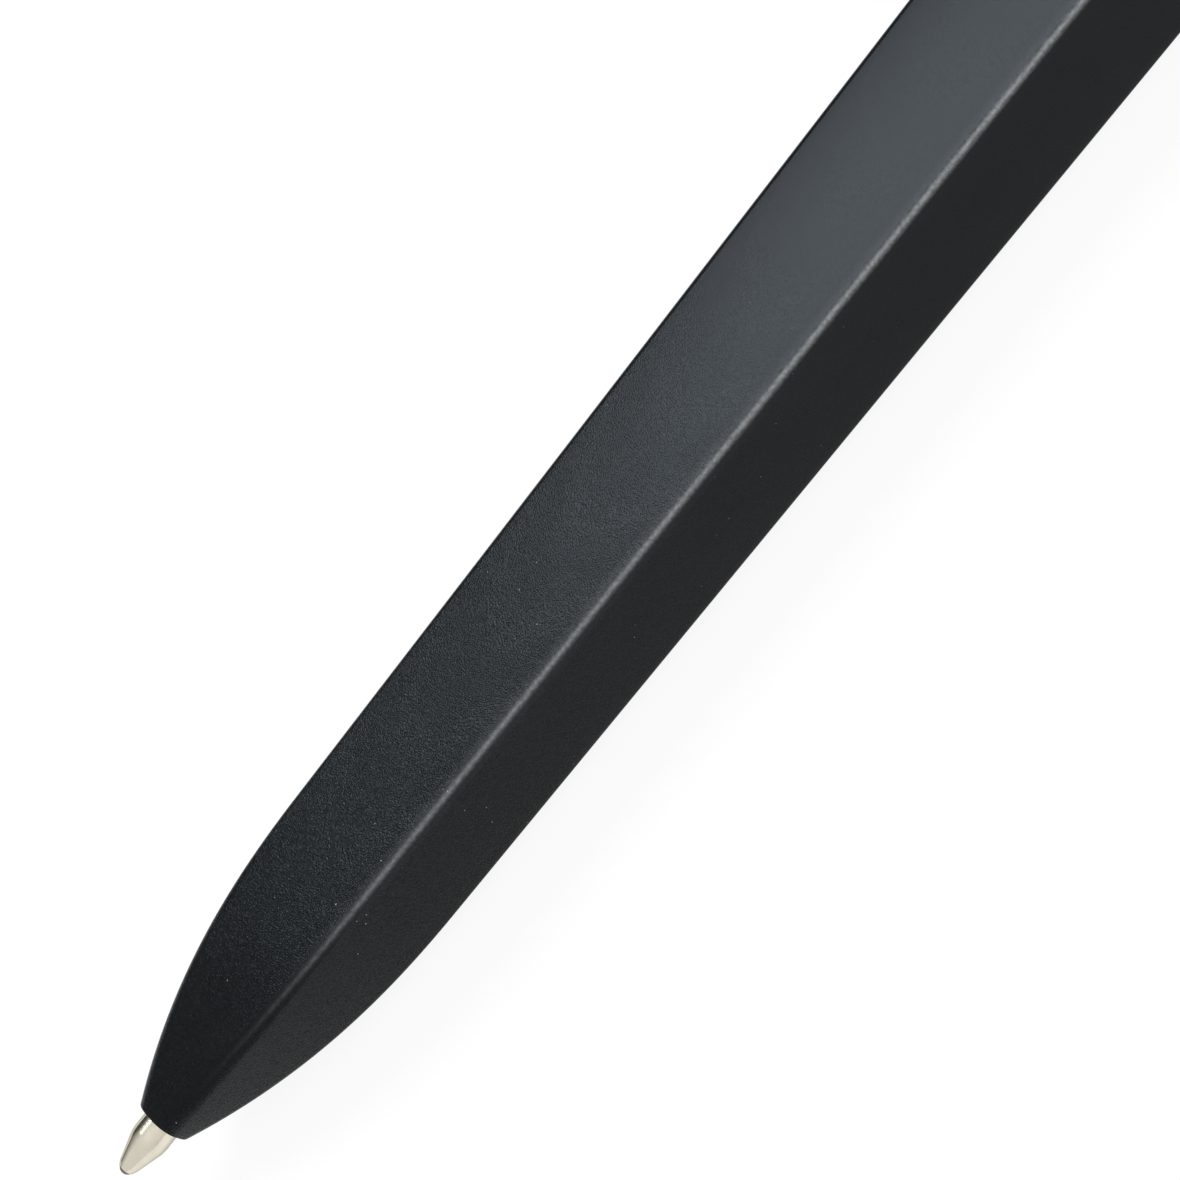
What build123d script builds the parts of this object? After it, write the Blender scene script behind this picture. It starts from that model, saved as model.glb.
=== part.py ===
"""Stick ballpoint pen with a square tapered barrel and a posted cap, one STEP file for each piece.

Sizes are in millimetres. The pen lies along X with its writing point toward -X and the clip up (+Z).
While the pieces are made, x is the distance from the writing point and the pen's axis is z = 0.
"""

import os
from math import radians, sqrt, tan

from build123d import *

# Writing ball and the metal socket that holds it
ball_diameter = 1.0
ball_clearance = 0.012
ball_stand_out = 0.3
lip_wall = 0.1
lip_round = 0.05
tip_cone_half_angle = 16.0
tip_shoulder_round = 2.5
tip_diameter = 2.5
tip_stand_out = 4.2
tip_seat_depth = 5.3
shank_diameter = 1.6
shank_length = 4.5
feed_hole_diameter = 0.4
feed_hole_length = 1.3
ink_bore_diameter = 0.9

# Barrel, outside
barrel_length = 117.8
barrel_front_side = 9.02
barrel_rear_side = 10.93
ridge_radius = 0.55
nose_length = 21.3
nose_curve = 2.36
nose_ridge_radius = 1.3
nose_ridge_curve = 1.3
nose_rim_wall = 0.35
nose_rim_round = 0.12
nose_sections = 12

# Barrel, inside
tip_hole_clearance = 0.05
barrel_wall = 1.2
cavity_ridge_radius = 0.8

# Ink refill
holder_diameter = 3.5
holder_length = 9.0
holder_spigot_length = 5.0
holder_channel_diameter = 1.0
tube_diameter = 3.2
tube_bore_diameter = 2.0
tube_entry = 4.0
ink_fill = 0.8
follower_length = 4.0

# Tail plug
plug_length = 11.0
plug_clearance = 0.02
tube_socket_clearance = 0.08
tube_end_gap = 1.0
vent_diameter = 1.2
boss_length = 16.0
boss_ridge_radius = 0.7
boss_end_round = 0.6

# Cap and clip
cap_length = 46.0
cap_end_wall = 2.0
cap_wall = 0.735
cap_step = 0.08
cap_clearance = 0.05
cap_seat_gap = 0.15
cap_draft_angle = 0.5
cap_end_round = 0.7
cap_vent_diameter = 2.4
clip_length = 36.0
clip_setback = 1.4
clip_root_length = 5.0
clip_width = 4.6
clip_thickness = 1.3
clip_gap = 1.0
clip_corner_round = 0.5
clip_edge_round = 0.3
clip_nib_radius = 1.6
clip_nib_setback = 2.0
clip_nib_gap = 0.25

# Stations along the pen
rim_x = tip_stand_out
nose_end_x = rim_x + nose_length
barrel_end_x = rim_x + barrel_length
seat_x = rim_x + tip_seat_depth
shank_end_x = seat_x + shank_length
holder_end_x = seat_x + holder_length
spigot_end_x = holder_end_x + holder_spigot_length
plug_front_x = barrel_end_x - plug_length
tube_end_x = plug_front_x + tube_entry
ink_end_x = spigot_end_x + ink_fill * (tube_end_x - spigot_end_x)
boss_end_x = barrel_end_x + boss_length
mouth_x = barrel_end_x + cap_seat_gap
cap_end_x = mouth_x + cap_length

# Half sides and radii that follow from the sizes above
front_half = barrel_front_side / 2
rear_half = barrel_rear_side / 2
barrel_lean = (rear_half - front_half) / (barrel_end_x - nose_end_x)
rim_half = tip_diameter / 2 + tip_hole_clearance + nose_rim_wall
ball_radius = ball_diameter / 2
seat_radius = ball_radius + ball_clearance
lip_reach = ball_radius - ball_stand_out
lip_radius = sqrt(seat_radius**2 - lip_reach**2) + lip_wall
cone_end_x = ball_stand_out + (tip_diameter / 2 - lip_radius) / tan(radians(tip_cone_half_angle))
feed_end_x = ball_diameter + feed_hole_length
cap_draft = tan(radians(cap_draft_angle))
mouth_half = rear_half - cap_step
mouth_inner_half = mouth_half - cap_wall
boss_half = mouth_inner_half - cap_clearance


def nose_share(x):
    """1 at the rim, falling to 0 where the nose runs into the straight barrel."""
    return (nose_end_x - x) / nose_length


def barrel_half(x):
    """Half the barrel's side: a straight taper, less a curved amount in the nose."""
    straight = front_half + barrel_lean * (x - nose_end_x)
    drop_at_rim = front_half - barrel_lean * nose_length - rim_half
    return straight - drop_at_rim * nose_share(x) ** nose_curve


def barrel_ridge(x):
    """Radius of the ridges in the nose, larger toward the rim."""
    return ridge_radius + (nose_ridge_radius - ridge_radius) * nose_share(x) ** nose_ridge_curve


def rod(start, end, radius):
    """A round bar on the pen's axis."""
    bar = Cylinder(radius, end - start, align=(Align.CENTER, Align.CENTER, Align.MIN))
    return Pos(start, 0, 0) * Rot(0, 90, 0) * bar


def taper_rod(start, end, start_radius, end_radius):
    """A cone on the pen's axis."""
    bar = Cone(start_radius, end_radius, end - start, align=(Align.CENTER, Align.CENTER, Align.MIN))
    return Pos(start, 0, 0) * Rot(0, 90, 0) * bar


def section(x, half, radius):
    """A square with rounded corners across the pen."""
    across = Plane(origin=(x, 0, 0), x_dir=(0, 1, 0), z_dir=(1, 0, 0))
    return across * RectangleRounded(2 * half, 2 * half, radius)


def square_bar(start, end, start_half, end_half, radius):
    """A square bar on the pen's axis with flat leaning sides and rounded ridges."""
    corners = [(start, -start_half), (end, -end_half), (end, end_half), (start, start_half)]
    outline = make_face(Polyline(*corners, close=True))
    reach = 2 * max(start_half, end_half)
    bar = extrude(Plane.XZ * outline, reach, both=True) & extrude(outline, reach, both=True)
    ridges = [edge for edge in bar.edges() if abs((edge @ 1).X - (edge @ 0).X) > (end - start) / 2]
    return fillet(ridges, radius)


# Barrel
straight_part = square_bar(nose_end_x, barrel_end_x, front_half, rear_half, ridge_radius)
nose_stations = [rim_x + nose_length * i / nose_sections for i in range(nose_sections)]
nose_faces = [section(x, barrel_half(x), barrel_ridge(x)).face() for x in nose_stations]
nose_faces.append(straight_part.faces().sort_by(Axis.X)[0])
nose = loft(nose_faces)
rim_edges = nose.faces().sort_by(Axis.X)[0].outer_wire().edges()
nose = fillet(rim_edges, nose_rim_round)
cavity_front_half = barrel_half(holder_end_x) - barrel_wall
cavity_rear_half = rear_half - barrel_wall
cavity_lean = (cavity_rear_half - cavity_front_half) / (barrel_end_x - holder_end_x)
cavity = square_bar(holder_end_x, barrel_end_x, cavity_front_half, cavity_rear_half, cavity_ridge_radius)
barrel = nose + straight_part
barrel -= rod(0, seat_x, tip_diameter / 2 + tip_hole_clearance)
barrel -= rod(seat_x, holder_end_x, holder_diameter / 2)
barrel -= cavity

# Writing ball and tip socket
writing_ball = Pos(ball_radius, 0, 0) * Rot(90, 0, 0) * Sphere(ball_radius)
ball_seat = Pos(ball_radius, 0, 0) * Sphere(seat_radius)
tip_socket = taper_rod(ball_stand_out, cone_end_x, lip_radius, tip_diameter / 2)
tip_socket += rod(cone_end_x, seat_x, tip_diameter / 2)
tip_circles = tip_socket.edges().filter_by(GeomType.CIRCLE)
shoulder_edge = tip_circles.sort_by(lambda edge: abs(edge.arc_center.X - cone_end_x))[0]
tip_socket = fillet(shoulder_edge, tip_shoulder_round)
lip_edge = tip_socket.edges().filter_by(GeomType.CIRCLE).sort_by(Axis.X)[0]
tip_socket = fillet(lip_edge, lip_round)
tip_socket += rod(seat_x, shank_end_x, shank_diameter / 2)
tip_socket -= rod(ball_radius, feed_end_x, feed_hole_diameter / 2)
tip_socket -= rod(feed_end_x, shank_end_x, ink_bore_diameter / 2)
tip_socket -= ball_seat

# Ink refill
tip_holder = rod(seat_x, holder_end_x, holder_diameter / 2)
tip_holder += rod(holder_end_x, spigot_end_x, tube_bore_diameter / 2)
tip_holder -= rod(seat_x, shank_end_x, shank_diameter / 2)
tip_holder -= rod(shank_end_x, spigot_end_x, holder_channel_diameter / 2)
ink_tube = rod(holder_end_x, tube_end_x, tube_diameter / 2)
ink_tube -= rod(holder_end_x, tube_end_x, tube_bore_diameter / 2)
ink_column = rod(ball_diameter + ball_clearance, feed_end_x, feed_hole_diameter / 2)
ink_column += rod(feed_end_x, shank_end_x, ink_bore_diameter / 2)
ink_column += rod(shank_end_x, spigot_end_x, holder_channel_diameter / 2)
ink_column += rod(spigot_end_x, ink_end_x, tube_bore_diameter / 2)
ink_follower = rod(ink_end_x, ink_end_x + follower_length, tube_bore_diameter / 2)

# Tail plug
plug_rear_half = cavity_rear_half - plug_clearance
plug_front_half = plug_rear_half - cavity_lean * plug_length
boss_rear_half = boss_half - cap_draft * boss_length
tail_plug = square_bar(plug_front_x, barrel_end_x, plug_front_half, plug_rear_half, cavity_ridge_radius)
boss = square_bar(barrel_end_x, boss_end_x, boss_half, boss_rear_half, boss_ridge_radius)
tail_plug += fillet(boss.faces().sort_by(Axis.X)[-1].outer_wire().edges(), boss_end_round)
tail_plug -= rod(plug_front_x, tube_end_x + tube_end_gap, tube_diameter / 2 + tube_socket_clearance)
tail_plug -= rod(tube_end_x + tube_end_gap, boss_end_x, vent_diameter / 2)

# Cap shell
cavity_depth = cap_length - cap_end_wall
cap_rear_half = mouth_half - cap_draft * cap_length
cap_inner_rear_half = mouth_inner_half - cap_draft * cavity_depth
cap = square_bar(mouth_x, cap_end_x, mouth_half, cap_rear_half, ridge_radius)
cap = fillet(cap.faces().sort_by(Axis.X)[-1].outer_wire().edges(), cap_end_round)
cap -= square_bar(mouth_x, mouth_x + cavity_depth, mouth_inner_half, cap_inner_rear_half, boss_ridge_radius)
cap -= rod(mouth_x + cavity_depth, cap_end_x, cap_vent_diameter / 2)

# Clip, moulded on the cap
clip_low = mouth_half + clip_gap
clip_high = clip_low + clip_thickness
clip_middle = clip_low + clip_thickness / 2
root_rear_x = cap_end_x - clip_setback
root_front_x = root_rear_x - clip_root_length
root_low = cap_rear_half - cap_wall
clip_tip_x = root_rear_x - clip_length
nib_x = clip_tip_x + clip_nib_setback
nib_low = mouth_half - cap_draft * (nib_x - mouth_x) + clip_nib_gap
clip_corners = [
    (root_rear_x, root_low),
    (root_rear_x, clip_high),
    (clip_tip_x, clip_high),
    (clip_tip_x, clip_low),
    (root_front_x, clip_low),
    (root_front_x, root_low),
]
clip_profile = make_face(FilletPolyline(*clip_corners, radius=clip_corner_round, close=True))
clip = extrude(Plane.XZ * clip_profile, clip_width / 2, both=True)
clip = fillet(clip.faces().filter_by(Axis.Y).edges(), clip_edge_round)
nib_window = Rectangle(2 * clip_nib_radius, clip_middle - nib_low, align=(Align.CENTER, Align.MIN))
nib_profile = Pos(0, nib_low + clip_nib_radius) * Circle(clip_nib_radius) & Pos(0, nib_low) * nib_window
nib = extrude(Plane.XZ * Pos(nib_x, 0) * nib_profile, clip_width / 2 - clip_edge_round, both=True)
cap += clip
cap += nib

# Place every piece with the middle of its underside at the origin and write it
place = Pos(-cap_end_x / 2, 0, rear_half)
pieces = {
    "barrel": barrel,
    "tail_plug": tail_plug,
    "tip_holder": tip_holder,
    "tip_socket": tip_socket,
    "writing_ball": writing_ball,
    "ink_tube": ink_tube,
    "ink_column": ink_column,
    "ink_follower": ink_follower,
    "cap": cap,
}
os.makedirs("parts", exist_ok=True)
for name, piece in pieces.items():
    export_step(place * piece, f"parts/{name}.step")
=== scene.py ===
# %% [markdown]
# # A square stick ballpoint pen, dressed for its picture
#
# The mechanical model of the pen is already finished: a barrel, an ink refill with a metal tip, a tail
# plug and a cap, and each of them knows how it may move. This lesson puts the visible surfaces over
# that model. Such a pen could be pulled into shape by eye with Blender's modelling tools, but its
# barrel follows a formula, so whole arrays of points are worked out with numpy instead. That keeps
# every ridge true and every edge where the model has it.

import bpy
import numpy as np
from mathutils import Matrix, Vector


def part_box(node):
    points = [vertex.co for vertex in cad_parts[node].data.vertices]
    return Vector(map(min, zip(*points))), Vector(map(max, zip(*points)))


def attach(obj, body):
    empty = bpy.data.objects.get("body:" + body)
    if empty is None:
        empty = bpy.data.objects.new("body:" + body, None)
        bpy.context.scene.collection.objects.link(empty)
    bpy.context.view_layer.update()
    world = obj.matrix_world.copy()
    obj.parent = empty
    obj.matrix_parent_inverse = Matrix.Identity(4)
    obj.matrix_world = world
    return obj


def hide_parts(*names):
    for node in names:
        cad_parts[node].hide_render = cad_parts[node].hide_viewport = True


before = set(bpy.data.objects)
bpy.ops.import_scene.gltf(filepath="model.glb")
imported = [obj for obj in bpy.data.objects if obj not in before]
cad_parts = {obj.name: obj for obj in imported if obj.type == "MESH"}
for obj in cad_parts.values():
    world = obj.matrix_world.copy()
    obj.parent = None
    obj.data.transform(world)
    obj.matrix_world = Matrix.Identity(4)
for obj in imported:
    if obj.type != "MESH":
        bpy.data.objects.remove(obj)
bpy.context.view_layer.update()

# %% [markdown]
# ## A rule along the pen
#
# A pen maker reads sizes along a rule that starts at the writing point. The numbers below do the same, in
# millimetres, with the pen's axis at height zero. The frame counts from the middle of the pen and from the
# table. Its numbers could be used as they are, but a place counted from the writing point says at once
# where on the pen it is, so one small function turns a place on the rule into a place in the frame.

# %% Places that come from the frame
MM = 0.001


def corners_mm(node):
    """Lowest and highest corner of a node of the frame, in millimetres."""
    return np.array([list(corner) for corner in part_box(node)]) / MM


barrel_box, cap_box = corners_mm("barrel"), corners_mm("cap")
POINT_X = -cap_box[1, 0]
AXIS_Z = barrel_box[:, 2].mean()
RIM_X, BARREL_END_X = barrel_box[:, 0] - POINT_X
MOUTH_X, CAP_END_X = cap_box[:, 0] - POINT_X
REAR_HALF = barrel_box[1, 1]
CLIP_TOP = cap_box[1, 2] - AXIS_Z


def to_frame(x, y, z):
    """Millimetres on the rule and from the pen's axis, as metres in the frame."""
    x, y, z = np.broadcast_arrays(x + POINT_X, y, z + AXIS_Z)
    return np.stack([x, y, z], axis=-1) * MM


print("rim, barrel end, mouth, cap end:", np.round([RIM_X, BARREL_END_X, MOUTH_X, CAP_END_X], 3))

# %% [markdown]
# ## Runs with rounded corners
#
# Cut any piece of this pen along its axis and its wall is a closed path of straight runs. No moulded or
# turned edge is perfectly sharp, so every corner of such a path becomes a small arc. A bevel modifier
# could round them too, but here each corner has a radius of its own.

# %% Paths
ARC_STEPS = 8
PER_CORNER = ARC_STEPS + 2
HOLD = 0.05


def unit(vectors):
    """Vectors brought to length one."""
    return vectors / np.linalg.norm(vectors, axis=-1, keepdims=True)


def rounded_path(corners, radii):
    """Rows of points, one row for each corner of a closed path, with an arc in place of the corner.

    An arc of radius r touches both runs at r / tan(half the corner's angle) from the corner, and its
    points turn evenly about its centre from one run to the other. One more point on each run, just
    outside the arc, keeps the run flat when it is shaded.
    """
    corners, radii = np.asarray(corners, float), np.asarray(radii, float)[:, None]
    before = unit(np.roll(corners, 1, axis=0) - corners)
    after = unit(np.roll(corners, -1, axis=0) - corners)
    half_angle = np.arccos(np.sum(before * after, axis=1, keepdims=True)) / 2
    touch = radii / np.tan(half_angle)
    centre = corners + unit(before + after) * radii / np.sin(half_angle)
    first, last = (corners + run * touch - centre for run in (before, after))
    sweep = np.pi - 2 * half_angle[:, None]
    share = np.linspace(0.0, 1.0, ARC_STEPS)[None, :, None]
    from_first = np.sin((1 - share) * sweep) * first[:, None]
    from_last = np.sin(share * sweep) * last[:, None]
    arc = centre[:, None] + (from_first + from_last) / np.sin(sweep)
    hold = touch + np.minimum(radii / 2, HOLD)
    ends = [(corners + run * hold)[:, None] for run in (before, after)]
    return np.concatenate([ends[0], arc, ends[1]], axis=1)


print("points for each corner:", PER_CORNER)

# %% [markdown]
# ## Rings
#
# The path is carried round the axis. On the turned tip it goes round in circles, and on the barrel, the
# plug and the cap in squares with rounded corners, whose four corners are the ridges of the pen. A
# moulded side is never quite flat: on the barrel its middle stands out by less than a tenth of a
# millimetre, which is enough to make the light on it grow from one edge to the other. A box with bevelled
# edges would be quicker to make, but its ridges and sides couldn't change along the pen.

# %% Squares and circles across the pen
RIDGE_POINTS, SIDE_POINTS, CIRCLE_POINTS = 15, 15, 96
RIDGE_TURN = np.linspace(0.0, np.pi / 2, RIDGE_POINTS)
ACROSS_SIDE = np.linspace(1.0, -1.0, SIDE_POINTS + 2)[1:-1]


def square_rings(x, half, ridge, crown=0.0):
    """Squares across the pen at stations x, with that half side and that ridge radius, as frame points.

    A quarter of a square is the arc of a ridge and then the side after it. The side is a parabola: its
    middle stands out by the crown times its own half length, and its ends not at all. The other quarters
    are that one turned by right angles.
    """
    x, half, ridge = (np.asarray(values, float)[:, None] for values in (x, half, ridge))
    middle = half - ridge
    bulge = np.reshape(crown, (-1, 1)) * middle * (1 - ACROSS_SIDE**2)
    y = np.concatenate([middle + ridge * np.cos(RIDGE_TURN), middle * ACROSS_SIDE], axis=1)
    z = np.concatenate([middle + ridge * np.sin(RIDGE_TURN), half + bulge], axis=1)
    return to_frame(x, np.concatenate([y, -z, -y, z], axis=1), np.concatenate([z, y, -z, -y], axis=1))


def round_rings(x, radius, around=CIRCLE_POINTS):
    """Circles across the pen at stations x, as frame points."""
    turn = np.linspace(0.0, 2 * np.pi, around, endpoint=False)
    x, radius = (np.asarray(values, float)[:, None] for values in (x, radius))
    return to_frame(x, radius * np.cos(turn), radius * np.sin(turn))


print("points round a square:", 4 * (RIDGE_POINTS + SIDE_POINTS))

# %% Walls of a square piece
ROUND_AS_CIRCLE = 0.98


def hole(x, radius, rounding):
    """A corner on the wall of a round hole, which is a square that is nearly all ridge."""
    return x, radius, ROUND_AS_CIRCLE * radius, rounding


def square_walls(corners):
    """Path and ridge radii of a hollow square piece, a row of points for each of its corners.

    A corner is its place on the rule, its half side, its ridge radius and the radius that rounds it.
    """
    x, half, ridge, rounding = np.array(corners).T
    rows = rounded_path(np.stack([x, half], axis=1), rounding)
    return rows, np.repeat(ridge[:, None], PER_CORNER, axis=1)


print("a hole of radius 1 has ridges of radius", hole(0.0, 1.0, 0.0)[2])

# %% [markdown]
# ## Wear and a painted highlight
#
# Each point of the black pieces carries a number for wear and painted highlight: 0 where the surface is as
# it left the mould, 1 where hands and tables rub it. Painting it by hand is possible, but wear sits where
# the shape stands out, so the same formulas that make the shape can say where it is. It runs as a thin
# line along each ridge, and along the rims. On the ridges it is partly a painted highlight: the ridge
# that faces the light gets the most, and its line sits where that ridge's highlight falls.

# %% Where the pen is rubbed, and where a highlight is painted on its ridges
# On the ridge that faces the light the rubbed line is partly a painted highlight: it is strongest there,
# sits a little off the ridge's middle where the highlight falls, and has a soft tail beside it.
RUB_AND_HIGHLIGHT_WIDTH, NARROW_RUB_AND_HIGHLIGHT_WIDTH = 0.24, 0.12
SOFT_RUB_AND_HIGHLIGHT, SOFT_SPREAD = 0.6, 6.0
RUB_AND_HIGHLIGHT_MIDDLE = np.radians(38.0)
RIDGE_RUB_AND_HIGHLIGHT = np.array([0.15, 1.0, 0.4, 0.3])
ON_ARC = np.concatenate([[0.0], np.sin(np.linspace(0.0, np.pi, ARC_STEPS)) ** 2, [0.0]])


def ridge_wear_and_highlight(ridge, share):
    """Wear and painted highlight on square rings with those ridge radii: a narrow bell curve across each
    ridge on a wide one.

    The four ridges get their own amounts, most the ridge that faces the light, where the line is partly a
    painted highlight. Each line sits a little to one side of its ridge's middle, and every ring takes its
    share of them. Where the share is small, the line is narrow and the wide curve shows more.
    """
    ridge, share = (np.asarray(values, float)[:, None] for values in (ridge, share))
    width = NARROW_RUB_AND_HIGHLIGHT_WIDTH + (RUB_AND_HIGHLIGHT_WIDTH - NARROW_RUB_AND_HIGHLIGHT_WIDTH) * share
    off_middle = (ridge * (RIDGE_TURN - RUB_AND_HIGHLIGHT_MIDDLE) / width) ** 2
    bell = np.exp(-off_middle) + SOFT_RUB_AND_HIGHLIGHT * (1 - share) * np.exp(-off_middle / SOFT_SPREAD)
    quarter = share * np.concatenate([bell, np.zeros((len(ridge), SIDE_POINTS))], axis=1)
    return (RIDGE_RUB_AND_HIGHLIGHT[:, None] * quarter[:, None]).reshape(len(ridge), -1)


print("the rubbed line is about", 2 * RUB_AND_HIGHLIGHT_WIDTH, "millimetres wide")

# %% [markdown]
# ## From rings to a mesh
#
# A grid of points with one row per ring becomes a mesh of four-sided faces. The rings of a hollow piece
# come back to where they started, so its skin closes like that of a doughnut. Blender could be asked to
# bridge the rings one by one, but numbering a whole grid at once is quicker and can't leave a hole.


# %% Patches
def patch(rings, wear_and_highlight=0.0, loop=True):
    """Points, faces and wear, with the ridges' painted highlight, of a grid of rings; with loop set, the
    last ring joins the first.

    A face goes from a point to the next one on its ring, then to the same two on the next ring.
    """
    rows, columns = rings.shape[:2]
    index = np.arange(rows * columns).reshape(rows, columns)
    beside = np.roll(index, -1, axis=1)
    faces = np.stack([index, beside, np.roll(beside, -1, axis=0), np.roll(index, -1, axis=0)], axis=-1)
    faces = faces if loop else faces[:-1]
    return rings.reshape(-1, 3), [faces.reshape(-1, 4)], np.broadcast_to(wear_and_highlight, (rows, columns)).ravel()


three_rings_of_four = np.zeros((3, 4, 3))
print("three rings of four points make", len(patch(three_rings_of_four)[1][0]), "faces in a loop")


# %% Meshes
def make_mesh(name, patches):
    """A mesh from patches. Faces with equally many corners share one array, a row for each face.

    The corners of all faces are laid end to end, and each face is told where its own corners start.
    """
    points = np.concatenate([part[0] for part in patches])
    starts = np.cumsum([0] + [len(part[0]) for part in patches])
    groups = [faces + start for part, start in zip(patches, starts) for faces in part[1]]
    corners = np.concatenate([faces.ravel() for faces in groups])
    counts = np.concatenate([np.full(len(faces), faces.shape[1]) for faces in groups])
    mesh = bpy.data.meshes.new(name)
    mesh.vertices.add(len(points))
    mesh.vertices.foreach_set("co", points.astype(np.float32).ravel())
    mesh.loops.add(len(corners))
    mesh.loops.foreach_set("vertex_index", corners.astype(np.int32))
    mesh.polygons.add(len(counts))
    mesh.polygons.foreach_set("loop_start", (np.cumsum(counts) - counts).astype(np.int32))
    mesh.update(calc_edges=True)
    print(name, "points:", len(mesh.vertices), "faces:", len(mesh.polygons))
    return mesh


# %% Pieces
SHARP_ANGLE = np.radians(40.0)


def make_piece(name, patches, material, body, node):
    """One object from patches: it rides on a body of the frame and stands for a node of it."""
    mesh = make_mesh(name, patches)
    # Each point's number for wear and painted highlight is kept as an attribute that the finish reads.
    worn_and_highlit = mesh.attributes.new("wear_and_highlight", "FLOAT", "POINT")
    worn_and_highlit.data.foreach_set("value", np.concatenate([part[2] for part in patches]).astype(np.float32))
    mesh.polygons.foreach_set("use_smooth", np.ones(len(mesh.polygons), dtype=bool))
    mesh.set_sharp_from_angle(angle=SHARP_ANGLE)
    mesh.materials.append(material)
    piece = bpy.data.objects.new(name, mesh)
    bpy.context.scene.collection.objects.link(piece)
    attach(piece, body)
    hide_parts(node)
    print(name, "stands for", node, "and had to be mended:", mesh.validate())


print("edges that turn by more than", round(np.degrees(SHARP_ANGLE)), "degrees are shaded sharp")

# %% [markdown]
# ## Finishes
#
# Barrel and cap are moulded in black plastic from an etched mould, so they are matte, with a grain finer
# than a tenth of a millimetre that breaks up the light. The ridges are a little polished and greyed by
# use, and the ridge that faces the light is painted lighter still, as its highlight. A few specks of dust
# stick to the plastic. A picture could be wrapped round the pen, but noise that is computed in the
# object's own space has no seams and is sharp at any distance.

# %% Node helpers
# A Mix node lists its sockets for numbers and vectors before those for colours.
MIX_COLOURS, MIX_RESULT = slice(6, 8), 2


def new_finish(name):
    """A material, its nodes, its links and its principled shader."""
    material = bpy.data.materials.new(name)
    material.use_nodes = True
    tree = material.node_tree
    return material, tree.nodes, tree.links, tree.nodes["Principled BSDF"]


def add(nodes, kind, **inputs):
    """A node with the given values in its sockets."""
    node = nodes.new(kind)
    for key, value in inputs.items():
        node.inputs[key.replace("_", " ")].default_value = value
    return node


def noise(nodes, links, place, scale, detail):
    """Noise in the object's own space; scale is in features per metre."""
    made = add(nodes, "ShaderNodeTexNoise", Scale=scale, Detail=detail)
    links.new(place.outputs["Object"], made.inputs["Vector"])
    return made.outputs["Fac"]


def remap(nodes, links, source, low, high, from_low=0.3, from_high=0.7):
    """A straight change from low to high while the source goes from from_low to from_high.

    Without those two, the source is a noise, which seldom leaves 0.3 to 0.7.
    """
    made = add(nodes, "ShaderNodeMapRange", From_Min=from_low, From_Max=from_high, To_Min=low, To_Max=high)
    links.new(source, made.inputs["Value"])
    return made.outputs["Result"]


def combine(nodes, links, operation, one, other):
    """Two numbers multiplied, or the larger of two."""
    made = nodes.new("ShaderNodeMath")
    made.operation = operation
    links.new(one, made.inputs[0])
    links.new(other, made.inputs[1])
    return made.outputs["Value"]


def two_tone(nodes, links, source, dark, light):
    """A colour between two, chosen by a number from 0 to 1."""
    made = nodes.new("ShaderNodeMix")
    made.data_type = "RGBA"
    links.new(source, made.inputs["Factor"])
    for socket, colour in zip(made.inputs[MIX_COLOURS], (dark, light)):
        if isinstance(colour, tuple):
            socket.default_value = (*colour, 1.0)
        else:
            links.new(colour, socket)
    return made.outputs[MIX_RESULT]


helpers = (new_finish, add, noise, remap, combine, two_tone)
print("helpers for finishes:", [helper.__name__ for helper in helpers])

# %% Masks of the black plastic
GRAIN_SCALE, RUB_AND_HIGHLIGHT_SCALE, DUST_SCALE = 11500.0, 4000.0, 1500.0
LEAST_RUB_AND_HIGHLIGHT = 0.55
DUST_SIZE, DUST_SHARE, DUST_STEP = 0.045 * MM, 0.2, 0.01
DUST_RADIUS = DUST_SIZE * DUST_SCALE


def rubbed_and_highlit(nodes, links, place):
    """The wear and painted highlight of the points, broken up by a fine noise."""
    wear_and_highlight = nodes.new("ShaderNodeAttribute")
    wear_and_highlight.attribute_name = "wear_and_highlight"
    uneven = remap(nodes, links, noise(nodes, links, place, RUB_AND_HIGHLIGHT_SCALE, detail=3.0), LEAST_RUB_AND_HIGHLIGHT, 1.0)
    return combine(nodes, links, "MULTIPLY", wear_and_highlight.outputs["Fac"], uneven)


def cells(nodes, links, place, scale):
    """Cells in the object's own space: the distance from a cell's middle, and a random number for it."""
    made = add(nodes, "ShaderNodeTexVoronoi", Scale=scale)
    links.new(place.outputs["Object"], made.inputs["Vector"])
    pick = nodes.new("ShaderNodeSeparateColor")
    links.new(made.outputs["Color"], pick.inputs["Color"])
    return made.outputs["Distance"], pick.outputs["Red"]


def dusty(nodes, links, place):
    """Small dots round the middles of a few cells."""
    distance, number = cells(nodes, links, place, DUST_SCALE)
    dots = remap(nodes, links, distance, 1.0, 0.0, DUST_RADIUS / 2, DUST_RADIUS)
    chosen = remap(nodes, links, number, 0.0, 1.0, 1.0 - DUST_SHARE, 1.0 - DUST_SHARE + DUST_STEP)
    return combine(nodes, links, "MULTIPLY", dots, chosen)


print("a grain is about", round(1 / (GRAIN_SCALE * MM), 3), "millimetres wide")

# %% Black plastic
BLACK_LOW, BLACK_HIGH = (0.0036, 0.0041, 0.0044), (0.0055, 0.0061, 0.0066)
CLOUD_SCALE = 160.0
# Grey of rubbed ridges and rims; on the ridge that faces the light it is also a painted highlight.
SCUFF_AND_HIGHLIGHT_GREY = (0.208, 0.212, 0.217)
DUST_GREY = (0.52, 0.52, 0.52)
SHEEN_TINT = (0.82, 0.93, 1.0, 1.0)
SHINE_LOW, SHINE_HIGH, RUBBED_SHINE = 0.046, 0.117, 0.7
ROUGH_LOW, ROUGH_HIGH = 0.22, 0.28
GRAIN_DEPTH = 0.028 * MM
GRAIN_FADE_FROM, GRAIN_FADE_TO, GRAIN_LEFT = -58 * MM, -8 * MM, 0.06


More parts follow.
